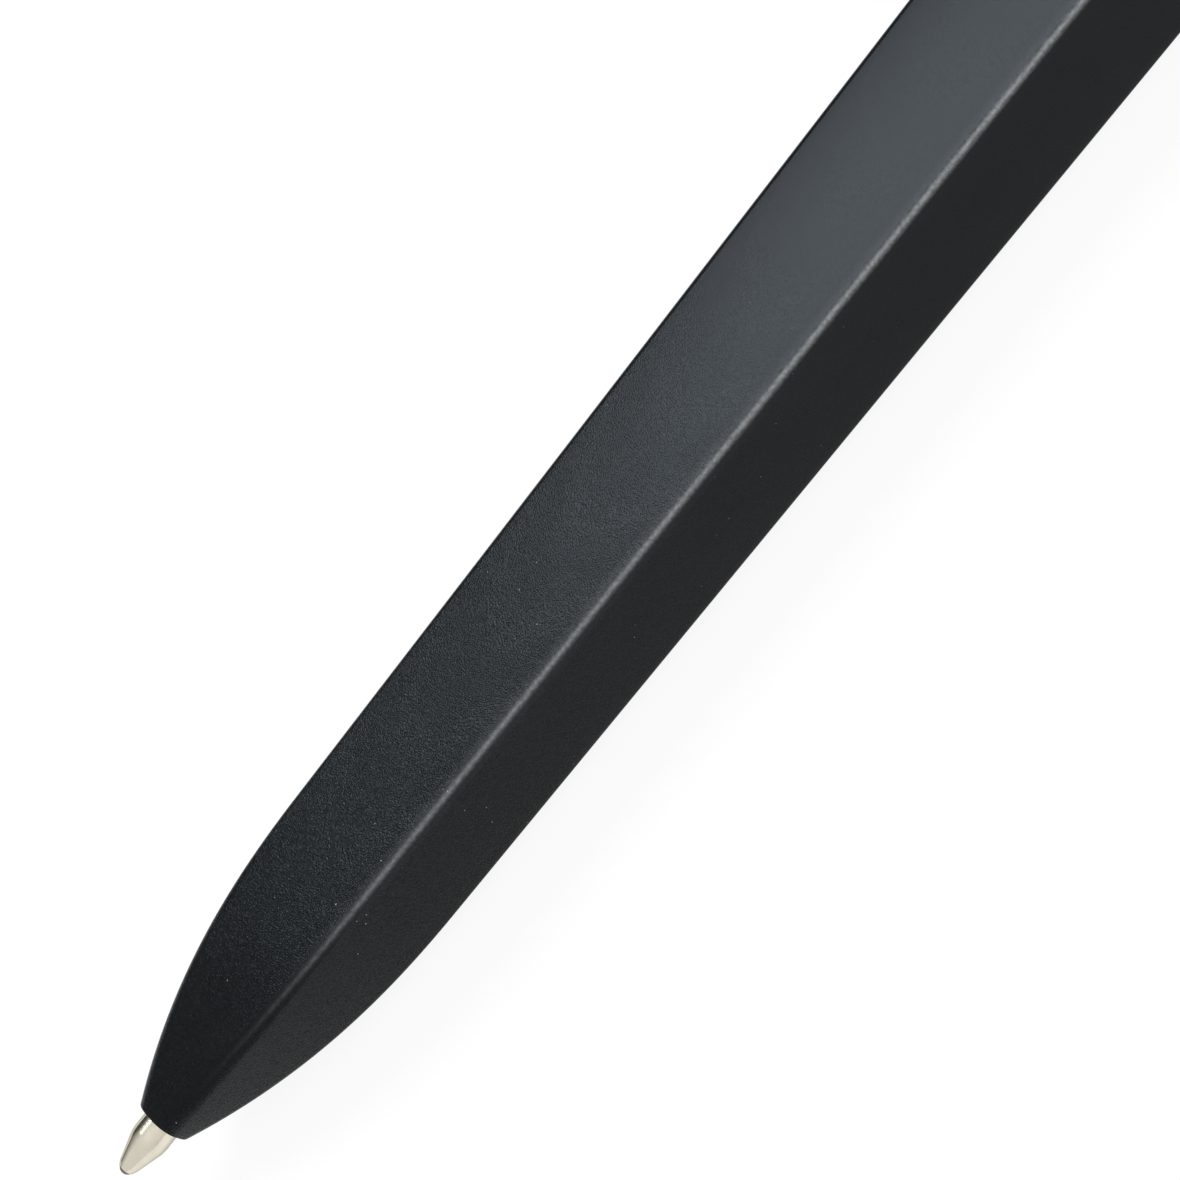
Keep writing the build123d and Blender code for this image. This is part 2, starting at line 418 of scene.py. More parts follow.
def black_plastic(name):
    """Matte black moulded plastic: etched grain, faint clouds of colour, rubbed ridges with a painted
    highlight, dust.

    The grain lifts the surface, and each of its facets shines more or less than the next. Grain and dust
    fade toward the rear.
    """
    material, nodes, links, shader = new_finish(name)
    place = nodes.new("ShaderNodeTexCoord")
    grain = noise(nodes, links, place, GRAIN_SCALE, detail=0.0)
    worn_and_highlit = rubbed_and_highlit(nodes, links, place)
    cloud = remap(nodes, links, noise(nodes, links, place, CLOUD_SCALE, detail=3.0), 0.0, 1.0)
    black = two_tone(nodes, links, cloud, BLACK_LOW, BLACK_HIGH)
    # Rubbed places turn grey, and on the ridge that faces the light that grey is also a painted highlight.
    scuffed_and_highlit = two_tone(nodes, links, worn_and_highlit, black, SCUFF_AND_HIGHLIGHT_GREY)
    along = nodes.new("ShaderNodeSeparateXYZ")
    links.new(place.outputs["Object"], along.inputs["Vector"])
    frontness = remap(nodes, links, along.outputs["X"], 1.0, GRAIN_LEFT, GRAIN_FADE_FROM, GRAIN_FADE_TO)
    dust = combine(nodes, links, "MULTIPLY", dusty(nodes, links, place), frontness)
    links.new(two_tone(nodes, links, dust, scuffed_and_highlit, DUST_GREY), shader.inputs["Base Color"])
    links.new(remap(nodes, links, grain, ROUGH_LOW, ROUGH_HIGH), shader.inputs["Roughness"])
    relief = add(nodes, "ShaderNodeBump", Distance=GRAIN_DEPTH)
    links.new(frontness, relief.inputs["Strength"])
    links.new(grain, relief.inputs["Height"])
    links.new(relief.outputs["Normal"], shader.inputs["Normal"])
    facets = remap(nodes, links, cells(nodes, links, place, GRAIN_SCALE)[1], -1.0, 1.0, 0.0, 1.0)
    uneven = combine(nodes, links, "MULTIPLY", facets, frontness)
    shine = remap(nodes, links, uneven, SHINE_LOW, SHINE_HIGH, -1.0, 1.0)
    polish = remap(nodes, links, worn_and_highlit, 0.0, RUBBED_SHINE, 0.0, 1.0)
    links.new(combine(nodes, links, "MAXIMUM", shine, polish), shader.inputs["Specular IOR Level"])
    shader.inputs["Specular Tint"].default_value = SHEEN_TINT
    return material


barrel_black = black_plastic("barrel_black")
print(barrel_black.name, "has", len(barrel_black.node_tree.nodes), "nodes")

# %% [markdown]
# The tip is turned on a lathe, and the tool leaves rings round it that are finer than a hair. Grooves could
# be cut into the mesh for them, but no picture would show one by itself. So they are a noise that changes
# quickly along the pen and hardly at all across it. Metal shows little of its own colour and much of the
# room, so its tint is pale and its edges are a little darker.

# %% Turned metal
METAL_EDGE = (0.50, 0.47, 0.42, 1.0)
TARNISH_SCALE, LATHE_SCALE, LATHE_STRETCH = 900.0, 14000.0, 0.02
LATHE_SPREAD, LATHE_RELIEF, LATHE_DEPTH = 0.02, 0.05, 0.01 * MM


def turned_metal(name, dark, light, roughness):
    """Bright metal from a lathe: fine rings, a little tarnish."""
    material, nodes, links, shader = new_finish(name)
    place = nodes.new("ShaderNodeTexCoord")
    tarnish = remap(nodes, links, noise(nodes, links, place, TARNISH_SCALE, detail=2.0), 0.0, 1.0)
    stretch = add(nodes, "ShaderNodeMapping", Scale=(1.0, LATHE_STRETCH, LATHE_STRETCH))
    links.new(place.outputs["Object"], stretch.inputs["Vector"])
    rings = add(nodes, "ShaderNodeTexNoise", Scale=LATHE_SCALE, Detail=2.0)
    links.new(stretch.outputs["Vector"], rings.inputs["Vector"])
    links.new(two_tone(nodes, links, tarnish, dark, light), shader.inputs["Base Color"])
    smooth, rough = roughness - LATHE_SPREAD, roughness + LATHE_SPREAD
    links.new(remap(nodes, links, rings.outputs["Fac"], smooth, rough), shader.inputs["Roughness"])
    relief = add(nodes, "ShaderNodeBump", Strength=LATHE_RELIEF, Distance=LATHE_DEPTH)
    links.new(rings.outputs["Fac"], relief.inputs["Height"])
    links.new(relief.outputs["Normal"], shader.inputs["Normal"])
    shader.inputs["Metallic"].default_value = 1.0
    shader.inputs["Specular Tint"].default_value = METAL_EDGE
    return material


nickel_silver = turned_metal("nickel_silver", (0.70, 0.66, 0.54), (0.77, 0.73, 0.62), roughness=0.17)
ball_carbide = turned_metal("ball_carbide", (0.14, 0.13, 0.12), (0.22, 0.21, 0.20), roughness=0.18)
print("metals:", nickel_silver.name, ball_carbide.name)

# %% [markdown]
# The pieces inside the barrel are plain mouldings and liquids. Nobody sees them in the closed pen, and one
# flat colour each could do, but the finished model may be cut open, so each has its own clouds of colour
# and gloss.

# %% Natural plastic and liquids
INNER_CLOUD_SCALE = 600.0


def clouded(name, dark, light, rough_low, rough_high):
    """A plain moulding or a liquid: clouds of colour and of roughness."""
    material, nodes, links, shader = new_finish(name)
    place = nodes.new("ShaderNodeTexCoord")
    cloud = remap(nodes, links, noise(nodes, links, place, INNER_CLOUD_SCALE, detail=3.0), 0.0, 1.0)
    links.new(two_tone(nodes, links, cloud, dark, light), shader.inputs["Base Color"])
    links.new(remap(nodes, links, cloud, rough_low, rough_high, 0.0, 1.0), shader.inputs["Roughness"])
    return material


inner_finishes = {
    "tip_holder": clouded("holder_natural", (0.62, 0.62, 0.58), (0.74, 0.74, 0.70), 0.3, 0.4),
    "ink_tube": clouded("tube_natural", (0.70, 0.70, 0.67), (0.80, 0.80, 0.78), 0.15, 0.25),
    "ink_column": clouded("ink_black", (0.006, 0.006, 0.010), (0.012, 0.012, 0.018), 0.05, 0.12),
    "ink_follower": clouded("grease_amber", (0.60, 0.50, 0.30), (0.74, 0.66, 0.46), 0.08, 0.2),
}
for node_name, finish in inner_finishes.items():
    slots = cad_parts[node_name].data.materials
    slots.clear()
    slots.append(finish)
    print(node_name, "is", finish.name)

# %% [markdown]
# ## Barrel
#
# The barrel is a square tube that grows a little toward the rear. In the nose its sides draw in along a
# curve and its ridges soften until the rim is almost round. Both follow one share, which is 1 at the
# rim and 0 where the nose ends: the side loses the share to the power 2.36, and the ridges gain the
# share to the power 1.3. A square could be swept and scaled along a curve instead, but its ridges would
# then shrink with it, where these grow. The path turns at the rear end and comes back through the hollow.

# %% Barrel profile
NOSE_LENGTH, NOSE_CURVE = 21.3, 2.36
NOSE_END_X = RIM_X + NOSE_LENGTH
FRONT_HALF, RIM_HALF = 4.51, 1.65
RIDGE, RIM_RIDGE, RIDGE_CURVE = 0.55, 1.3, 1.3
LEAN = (REAR_HALF - FRONT_HALF) / (BARREL_END_X - NOSE_END_X)


def nose_share(x):
    """1 at the rim, 0 from the end of the nose on."""
    return np.clip((NOSE_END_X - x) / NOSE_LENGTH, 0.0, 1.0)


def barrel_half(x):
    """Half side: a straight taper less a curved amount in the nose."""
    drop = FRONT_HALF - LEAN * NOSE_LENGTH - RIM_HALF
    return FRONT_HALF + LEAN * (x - NOSE_END_X) - drop * nose_share(x) ** NOSE_CURVE


def barrel_ridge(x):
    """Ridge radius: even on the straight part, larger toward the rim."""
    return RIDGE + (RIM_RIDGE - RIDGE) * nose_share(x) ** RIDGE_CURVE


rim_nose_end_rear = np.array([RIM_X, NOSE_END_X, BARREL_END_X])
print("half sides at rim, nose end and rear:", np.round(barrel_half(rim_nose_end_rear), 3))

# %% Barrel path
RIM_ROUND, RIM_HOLE_ROUND, END_ROUND = 0.12, 0.04, 0.12
CAVITY_MOUTH_ROUND, CAVITY_END_ROUND, SMALL_ROUND, KINK = 0.1, 0.2, 0.05, 0.0001
TIP_HOLE, HOLDER_HOLE = 1.30, 1.75
SEAT_X, HOLDER_END_X = 9.5, 18.5
WALL, CAVITY_RIDGE = 1.2, 0.8
CLEAR_OF_RIM, CLEAR_OF_END = 0.06, 1.0
NOSE_RINGS, STRAIGHT_RINGS = 100, 24
nose_start_x = RIM_X + RIM_ROUND + CLEAR_OF_RIM
corner_rows, corner_ridges = square_walls([
    hole(RIM_X, TIP_HOLE, RIM_HOLE_ROUND),
    (RIM_X, RIM_HALF, RIM_RIDGE, RIM_ROUND),
    (nose_start_x, barrel_half(nose_start_x), RIM_RIDGE, KINK),
    (BARREL_END_X, REAR_HALF, RIDGE, END_ROUND),
    (BARREL_END_X, REAR_HALF - WALL, CAVITY_RIDGE, CAVITY_MOUTH_ROUND),
    (HOLDER_END_X, barrel_half(HOLDER_END_X) - WALL, CAVITY_RIDGE, CAVITY_END_ROUND),
    hole(HOLDER_END_X, HOLDER_HOLE, SMALL_ROUND),
    hole(SEAT_X, HOLDER_HOLE, SMALL_ROUND),
    hole(SEAT_X, TIP_HOLE, SMALL_ROUND),
])
# The curved outer side takes the place of the third corner, which only leads the rim's arc into it.
nose_x = np.linspace(nose_start_x, NOSE_END_X, NOSE_RINGS)
straight_x = np.linspace(NOSE_END_X, BARREL_END_X - CLEAR_OF_END, STRAIGHT_RINGS + 1)[1:]
outer_x = np.concatenate([nose_x, straight_x])
outer_rows = np.stack([outer_x, barrel_half(outer_x)], axis=1)
barrel_rows = np.concatenate([corner_rows[:2].reshape(-1, 2), outer_rows, corner_rows[3:].reshape(-1, 2)])
barrel_ridges = np.concatenate([corner_ridges[:2].ravel(), barrel_ridge(outer_x), corner_ridges[3:].ravel()])
print("rings along the barrel:", len(barrel_rows))

# %% Barrel skin
# The rubbed line along the ridges, partly a painted highlight, is faint in the nose and grows toward the
# rear, as that highlight does.
RUB_AND_HIGHLIGHT_GROWS_OVER, RUB_AND_HIGHLIGHT_AT_NOSE, RUB_AND_HIGHLIGHT_CURVE, END_RUB = 45.0, 0.5, 2.5, 0.3
CROWN, CROWN_ENDS_OVER = 0.018, 20.0
# The rings of the rim and of the inside are neither rubbed nor crowned.
at_rim, inside = np.zeros(2 * PER_CORNER), np.zeros(len(corner_rows[4:]) * PER_CORNER)
growing = np.clip((outer_x - NOSE_END_X) / RUB_AND_HIGHLIGHT_GROWS_OVER, 0.0, 1.0)
outer_share = (1 - nose_share(outer_x)) ** RUB_AND_HIGHLIGHT_CURVE * (RUB_AND_HIGHLIGHT_AT_NOSE + (1 - RUB_AND_HIGHLIGHT_AT_NOSE) * growing)
ring_share = np.concatenate([at_rim, outer_share, np.ones(PER_CORNER), inside])
end_rub = np.concatenate([at_rim, np.zeros(outer_x.size), END_RUB * ON_ARC, inside])
barrel_wear_and_highlight = np.maximum(ridge_wear_and_highlight(barrel_ridges, ring_share), end_rub[:, None])
outer_crown = CROWN * np.clip((BARREL_END_X - outer_x) / CROWN_ENDS_OVER, 0.0, 1.0)
barrel_crown = np.concatenate([at_rim, outer_crown, np.zeros(PER_CORNER), inside])
barrel_patch = patch(square_rings(*barrel_rows.T, barrel_ridges, barrel_crown), barrel_wear_and_highlight)
make_piece("barrel_skin", [barrel_patch], barrel_black, "pen", "barrel")

# %% [markdown]
# ## Writing tip
#
# The tip is turned from nickel silver: a lip that is pressed in round the ball, a cone, a cylinder that
# leaves the nose, and a thin shank inside, with a channel for the ink through all of it. It is one path
# turned about the axis, which ends on the hollow sphere that the ball turns in. A stack of cones and
# cylinders would show seams where they meet, and one turned path has none.

# %% Tip socket path
BALL_X, BALL_RADIUS, BALL_SEAT, BALL_STAND_OUT = 0.5, 0.4965, 0.512, 0.3
LIP_WALL, CRIMP_LENGTH, CRIMP_WALL = 0.1, 0.32, 0.03
CONE_ANGLE, TIP_RADIUS = np.radians(16.0), 1.25
SHANK_RADIUS, SHANK_END_X = 0.8, 14.0
FEED_RADIUS, FEED_END_X, INK_BORE = 0.2, 2.3, 0.45
LIP_ROUND, CRIMP_ROUND, SHOULDER_ROUND, FEED_ROUND, SEAT_ROUND = 0.03, 0.8, 2.5, 0.02, 0.01
seat_lip = np.sqrt(BALL_SEAT**2 - (BALL_X - BALL_STAND_OUT) ** 2)
lip_radius = seat_lip + LIP_WALL
cone_end_x = BALL_STAND_OUT + (TIP_RADIUS - lip_radius) / np.tan(CONE_ANGLE)
seat_back_x = BALL_X + np.sqrt(BALL_SEAT**2 - FEED_RADIUS**2)
# Each corner is its place on the rule, its radius and the radius that rounds it.
tip_corners = np.array([
    (BALL_STAND_OUT, seat_lip + CRIMP_WALL, LIP_ROUND),
    (BALL_STAND_OUT + CRIMP_LENGTH, lip_radius + CRIMP_LENGTH * np.tan(CONE_ANGLE), CRIMP_ROUND),
    (cone_end_x, TIP_RADIUS, SHOULDER_ROUND),
    (SEAT_X, TIP_RADIUS, SMALL_ROUND),
    (SEAT_X, SHANK_RADIUS, SMALL_ROUND),
    (SHANK_END_X, SHANK_RADIUS, SMALL_ROUND),
    (SHANK_END_X, INK_BORE, SMALL_ROUND),
    (FEED_END_X, INK_BORE, SMALL_ROUND),
    (FEED_END_X, FEED_RADIUS, FEED_ROUND),
    (seat_back_x, FEED_RADIUS, SEAT_ROUND),
    (BALL_STAND_OUT, seat_lip, SEAT_ROUND),
])
print("the cone ends at", round(cone_end_x, 2), "and the lip has radius", round(lip_radius, 3))

# %% Tip socket skin
SEAT_RINGS = 14
seat_turns = [np.arcsin(FEED_RADIUS / BALL_SEAT), np.pi - np.arcsin(seat_lip / BALL_SEAT)]
seat_turn = np.linspace(*seat_turns, SEAT_RINGS + 2)[1:-1]
seat_rows = np.stack([BALL_X + BALL_SEAT * np.cos(seat_turn), BALL_SEAT * np.sin(seat_turn)], axis=1)
tip_rows = rounded_path(tip_corners[:, :2], tip_corners[:, 2]).reshape(-1, 2)
tip_rows = np.insert(tip_rows, len(tip_rows) - PER_CORNER, seat_rows, axis=0)
make_piece("tip_socket_skin", [patch(round_rings(*tip_rows.T))], nickel_silver, "pen", "tip_socket")

# %% [markdown]
# The ball that rolls the ink onto the paper is carbide, darker than its socket. Blender has a ready-made
# sphere, but the rings are at hand: their radius is the sine of the way from pole to pole, and a fan of
# triangles closes each pole.

# %% Writing ball
BALL_AROUND, BALL_RINGS = 64, 32
ball_turn = np.linspace(0.0, np.pi, BALL_RINGS + 2)[1:-1]
ball_x, ball_radii = BALL_X - BALL_RADIUS * np.cos(ball_turn), BALL_RADIUS * np.sin(ball_turn)
ball_points, ball_faces, _ = patch(round_rings(ball_x, ball_radii, BALL_AROUND), loop=False)
poles = to_frame(BALL_X + BALL_RADIUS * np.array([-1.0, 1.0]), 0.0, 0.0)
front_ring = np.arange(BALL_AROUND)
back_ring = front_ring + len(ball_points) - BALL_AROUND
front_pole = np.full(BALL_AROUND, len(ball_points))
front_fan = np.stack([front_pole, np.roll(front_ring, -1), front_ring], axis=1)
back_fan = np.stack([front_pole + 1, back_ring, np.roll(back_ring, -1)], axis=1)
ball_points = np.concatenate([ball_points, poles])
ball_patch = (ball_points, ball_faces + [front_fan, back_fan], np.zeros(len(ball_points)))
make_piece("writing_ball_skin", [ball_patch], ball_carbide, "ball", "writing_ball")

# %% [markdown]
# ## Tail plug
#
# The rear end of the barrel is closed by a plug. Its front part sits in the barrel and holds the end of
# the ink tube, and its rear part stands out as a boss that the cap is pushed over. A thin vent lets air
# in behind the ink. It could be two boxes with a hole cut through them, but as one path carried round the
# axis it keeps the barrel's ridges and the slight draft that lets it leave its mould.

# %% Tail plug path
DRAFT = np.tan(np.radians(0.5))
PLUG_FRONT_X, SOCKET_END_X, BOSS_END_X = 111.0, 116.0, 138.0
PLUG_CLEARANCE = 0.02
PLUG_HALF = REAR_HALF - WALL - PLUG_CLEARANCE
CAVITY_LEAN = (REAR_HALF - barrel_half(HOLDER_END_X)) / (BARREL_END_X - HOLDER_END_X)
CAP_STEP, CAP_WALL, CAP_CLEARANCE = 0.08, 0.735, 0.05
MOUTH_HALF = REAR_HALF - CAP_STEP
MOUTH_INNER_HALF = MOUTH_HALF - CAP_WALL
BOSS_HALF = MOUTH_INNER_HALF - CAP_CLEARANCE
BOSS_RIDGE, BOSS_END_RIDGE, BOSS_ROUND = 0.7, 0.4, 0.6
TUBE_SOCKET, AIR_VENT = 1.68, 0.6
PLUG_LEAD_IN, FLUSH_ROUND, VENT_ROUND, SOCKET_LEAD_IN = 0.3, 0.04, 0.1, 0.2
plug_rows, plug_ridges = square_walls([
    (PLUG_FRONT_X, PLUG_HALF - CAVITY_LEAN * (BARREL_END_X - PLUG_FRONT_X), CAVITY_RIDGE, PLUG_LEAD_IN),
    (BARREL_END_X, PLUG_HALF, CAVITY_RIDGE, FLUSH_ROUND),
    (BARREL_END_X, BOSS_HALF, BOSS_RIDGE, SMALL_ROUND),
    (BOSS_END_X, BOSS_HALF - DRAFT * (BOSS_END_X - BARREL_END_X), BOSS_RIDGE, BOSS_ROUND),
    hole(BOSS_END_X, AIR_VENT, VENT_ROUND),
    hole(SOCKET_END_X, AIR_VENT, SMALL_ROUND),
    hole(SOCKET_END_X, TUBE_SOCKET, SMALL_ROUND),
    hole(PLUG_FRONT_X, TUBE_SOCKET, SOCKET_LEAD_IN),
])
plug_ridges[3] = np.linspace(BOSS_RIDGE, BOSS_END_RIDGE, PER_CORNER)
print("the boss is", round(2 * BOSS_HALF, 2), "millimetres across")

# %% Tail plug skin
plug_patch = patch(square_rings(*plug_rows.reshape(-1, 2).T, plug_ridges.ravel()))
make_piece("tail_plug_skin", [plug_patch], barrel_black, "pen", "tail_plug")

# %% [markdown]
# ## Cap
#
# The cap is a square cup with the barrel's ridges, pushed on the tail. Its closed end has a round air
# hole, as caps have for safety, and its sides draw in slightly so that it leaves the mould. A box could be
# hollowed out for it, but its ridges would then have to be matched to the barrel's by eye. So it is made
# as the barrel is: one path round the wall, in through the hole and back to the mouth.

# %% Cap shell
CAP_END_WALL, CAP_VENT, CAP_END_RIDGE = 2.0, 1.2, 0.3
CAP_END_ROUND, CAP_VENT_ROUND, CUP_ROUND = 0.7, 0.15, 0.2
MOUTH_ROUND, MOUTH_LEAD_IN = 0.12, 0.1
MOUTH_RUB, CLOSED_END_RUB = 0.3, 0.5


def cap_top(x):
    """Half side of the cap: largest at its mouth, drawn in toward its closed end."""
    return MOUTH_HALF - DRAFT * (x - MOUTH_X)


inner_end_x = CAP_END_X - CAP_END_WALL
cap_rows, cap_ridges = square_walls([
    (MOUTH_X, MOUTH_HALF, RIDGE, MOUTH_ROUND),
    (CAP_END_X, cap_top(CAP_END_X), RIDGE, CAP_END_ROUND),
    hole(CAP_END_X, CAP_VENT, CAP_VENT_ROUND),
    hole(inner_end_x, CAP_VENT, SMALL_ROUND),
    (inner_end_x, MOUTH_INNER_HALF - DRAFT * (inner_end_x - MOUTH_X), BOSS_RIDGE, CUP_ROUND),
    (MOUTH_X, MOUTH_INNER_HALF, BOSS_RIDGE, MOUTH_LEAD_IN),
])
cap_ridges[1] = np.linspace(RIDGE, CAP_END_RIDGE, PER_CORNER)
# The cap's ridges carry the same rubbed line and painted highlight; its mouth and closed end are only
# rubbed.
cap_share, rim_rub = np.zeros(cap_ridges.shape), np.zeros(cap_ridges.shape)
cap_share[0], cap_share[1] = 1.0, np.linspace(1.0, 0.0, PER_CORNER)
rim_rub[0], rim_rub[1] = MOUTH_RUB * ON_ARC, CLOSED_END_RUB * ON_ARC
cap_wear_and_highlight = np.maximum(ridge_wear_and_highlight(cap_ridges.ravel(), cap_share.ravel()), rim_rub.reshape(-1, 1))
cap_patch = patch(square_rings(*cap_rows.reshape(-1, 2).T, cap_ridges.ravel()), cap_wear_and_highlight)
print("the cap has a wall of", CAP_WALL, "and grows to", round(2 * MOUTH_HALF, 2), "at its mouth")

# %% [markdown]
# ## Clip
#
# The clip is moulded in one with the cap: a tongue with a nib at its end that presses on the pocket's
# cloth. A bevelled box would do for the tongue, but not for the round belly of the nib. So its side view
# is a closed path with an arc at every corner. Carried across the pen, the path shrinks a little at both
# sides, and that rounds the long edges as a file would.

# %% Clip outline
CLIP_LENGTH, CLIP_WIDTH, CLIP_THICKNESS = 36.0, 4.6, 1.3
CLIP_SETBACK, CLIP_ROOT = 1.4, 5.0
CLIP_CORNER, CLIP_LOW_CORNER, CLIP_EDGE = 0.5, 0.35, 0.3
NIB_RADIUS, NIB_SETBACK, NIB_GAP, NIB_SLOPE = 1.4, 2.0, 0.25, np.radians(55.0)
NIB_BLEND = 0.2
CLIP_TOP_RUB, CLIP_LOW_RUB, UNRUBBED = 0.5, 0.4, 0.0
clip_low = CLIP_TOP - CLIP_THICKNESS
root_rear_x = CAP_END_X - CLIP_SETBACK
root_front_x = root_rear_x - CLIP_ROOT
clip_tip_x = root_rear_x - CLIP_LENGTH
root_low = cap_top(root_rear_x) - CAP_WALL / 2
nib_x = clip_tip_x + NIB_SETBACK
nib_point = cap_top(nib_x) + NIB_GAP + NIB_RADIUS - NIB_RADIUS / np.cos(NIB_SLOPE)
nib_reach = (clip_low - nib_point) / np.tan(NIB_SLOPE)
# Each corner is its place on the rule, its height, the radius that rounds it and its wear.
clip_corners = np.array([
    (clip_tip_x, clip_low, CLIP_LOW_CORNER, CLIP_LOW_RUB),
    (nib_x - nib_reach, clip_low, NIB_BLEND, UNRUBBED),
    (nib_x, nib_point, NIB_RADIUS, CLIP_LOW_RUB),
    (nib_x + nib_reach, clip_low, NIB_BLEND, UNRUBBED),
    (root_front_x, clip_low, CLIP_CORNER, UNRUBBED),
    (root_front_x, root_low, CLIP_LOW_CORNER, UNRUBBED),
    (root_rear_x, root_low, CLIP_LOW_CORNER, UNRUBBED),
    (root_rear_x, CLIP_TOP, CLIP_CORNER, CLIP_TOP_RUB),
    (clip_tip_x, CLIP_TOP, CLIP_CORNER, CLIP_TOP_RUB),
])
print("the slot under the clip is", round(clip_low - cap_top(MOUTH_X), 2), "high at the mouth")

# %% Clip
CLIP_EDGE_RUB, EDGE_STEPS = 0.6, 7


def outward(path):
    """Directions that point out of a closed path whose points run anticlockwise."""
    ahead = unit(np.roll(path, -1, axis=0) - path)
    along = unit(ahead + np.roll(ahead, 1, axis=0))
    return np.stack([along[:, 1], -along[:, 0]], axis=1)


def slab(path, path_wear, width, edge):
    """A closed path carried across the pen, with its two side edges rounded and rubbed.

    Across the width the path shrinks by edge * (1 - cos turn) while its place moves on by
    edge * sin turn, which is a quarter circle at each side. One flat face closes each side.
    """
    turn = np.linspace(np.pi / 2, 0.0, EDGE_STEPS)
    across = width / 2 - edge + edge * np.sin(turn)
    turn, across = np.concatenate([turn, turn[::-1]]), np.concatenate([across, -across[::-1]])
    flat = path - edge * (1 - np.cos(turn))[:, None, None] * outward(path)
    wear_and_highlight = np.maximum(CLIP_EDGE_RUB * np.sin(2 * turn[:, None]) ** 2, path_wear)
    rings = to_frame(flat[..., 0], across[:, None], flat[..., 1])
    points, faces, wear_and_highlight = patch(rings, wear_and_highlight, loop=False)
    side = np.arange(len(path))
    return points, faces + [side[None, ::-1], side[None] + len(points) - len(path)], wear_and_highlight


clip_path = rounded_path(clip_corners[:, :2], clip_corners[:, 2]).reshape(-1, 2)
clip_path_wear = np.outer(clip_corners[:, 3], ON_ARC).ravel()
clip_patch = slab(clip_path, clip_path_wear, CLIP_WIDTH, CLIP_EDGE)
make_piece("cap_skin", [cap_patch, clip_patch], barrel_black, "cap", "cap")

# %% [markdown]
# ## Table
#
# The pen lies on a white table. To the camera the table shows mostly its own white, in reflections half of
# it, and for the rest the light that falls on it. That keeps the ground as white as paper, leaves a soft
# shadow beside the pen, and lets the pen's dark side mirror that shadow. More lamps would whiten the table
# as well, but they would wash out the black.

# %% Table
TABLE_REACH = 6.0
table_mesh = bpy.data.meshes.new("table")
table_corners = TABLE_REACH * np.array([(-1, -1, 0), (1, -1, 0), (1, 1, 0), (-1, 1, 0)])
table_mesh.from_pydata(table_corners, [], [(0, 1, 2, 3)])
table = bpy.data.objects.new("table", table_mesh)
bpy.context.scene.collection.objects.link(table)
print("table is", 2 * TABLE_REACH, "metres wide")

# %% White of the table
TABLE_WHITE, TABLE_ROUGHNESS = 0.93, 0.9
TABLE_GLOW, MIRRORED_GLOW = 0.9, 0.5
table_paint, table_nodes, table_links, table_shader = new_finish("table_white")
table_shader.inputs["Base Color"].default_value = (TABLE_WHITE, TABLE_WHITE, TABLE_WHITE, 1.0)
table_shader.inputs["Roughness"].default_value = TABLE_ROUGHNESS
table_shader.inputs["Specular IOR Level"].default_value = 0.0
ray = table_nodes.new("ShaderNodeLightPath")
own_white = remap(table_nodes, table_links, ray.outputs["Is Camera Ray"], 0.0, TABLE_GLOW, 0.0, 1.0)
for kind in ("Is Glossy Ray", "Is Transmission Ray"):
    mirrored = remap(table_nodes, table_links, ray.outputs[kind], 0.0, MIRRORED_GLOW, 0.0, 1.0)
    own_white = combine(table_nodes, table_links, "MAXIMUM", own_white, mirrored)
glow = add(table_nodes, "ShaderNodeEmission", Strength=1.0)
blend = table_nodes.new("ShaderNodeMixShader")
table_links.new(own_white, blend.inputs["Fac"])
table_links.new(table_shader.outputs["BSDF"], blend.inputs[1])
table_links.new(glow.outputs["Emission"], blend.inputs[2])
table_links.new(blend.outputs["Shader"], table_nodes["Material Output"].inputs["Surface"])
table.data.materials.append(table_paint)
print("share of the table's own white:", TABLE_GLOW, "and in reflections:", MIRRORED_GLOW)

# %% [markdown]
# ## Light
#
# Soft, slightly cool light comes from behind the pen and above it and makes its upper side glow toward the
# rear. A long soft light over the pen lights the ridge that faces it, whose bright line is also partly
# painted on as a highlight. A lamp that follows the pen with Blender's tracking would roll with its own
# tilt, so its axes are worked out here: one stays along the pen.

# %% Lights
PEN_MIDDLE = Vector((-0.02, 0.0, 0.005))
COOL_WHITE, PLAIN_WHITE = (0.94, 0.955, 1.0), (1.0, 1.0, 1.0)


def soft_light(name, place, along, across, glow, colour):
    """A rectangular lamp that faces the pen, with one side along the pen and one across it.

    Its power is pi times its area times the glow, so the glow is how bright its face looks.
    """
    lamp = bpy.data.lights.new(name, "AREA")
    lamp.shape = "RECTANGLE"
    lamp.size, lamp.size_y = along, across
    lamp.energy = glow * np.pi * along * across
    lamp.color = colour
    holder = bpy.data.objects.new(name, lamp)
    back = (Vector(place) - PEN_MIDDLE).normalized()
    right = Vector((0.0, 1.0, 0.0)).cross(back).normalized()
    turn = Matrix((right, back.cross(right), back)).transposed().to_4x4()
    holder.matrix_world = Matrix.Translation(place) @ turn
    bpy.context.scene.collection.objects.link(holder)
    print(name, "gives", round(lamp.energy, 2), "watts")


soft_light("key_behind", place=(-0.09, 0.43, 0.73), along=0.34, across=0.28, glow=16.6, colour=COOL_WHITE)
soft_light("overhead", place=(-0.06, -0.22, 0.83), along=0.34, across=1.25, glow=2.0, colour=PLAIN_WHITE)

# %% [markdown]
# Metal only shows what is round it, so the room is bright before the tip and above it, and dim elsewhere.
# Cards of white paper would do that in a studio, but their edges show in so small a tip. A sky that
# brightens evenly toward one side has no edges.

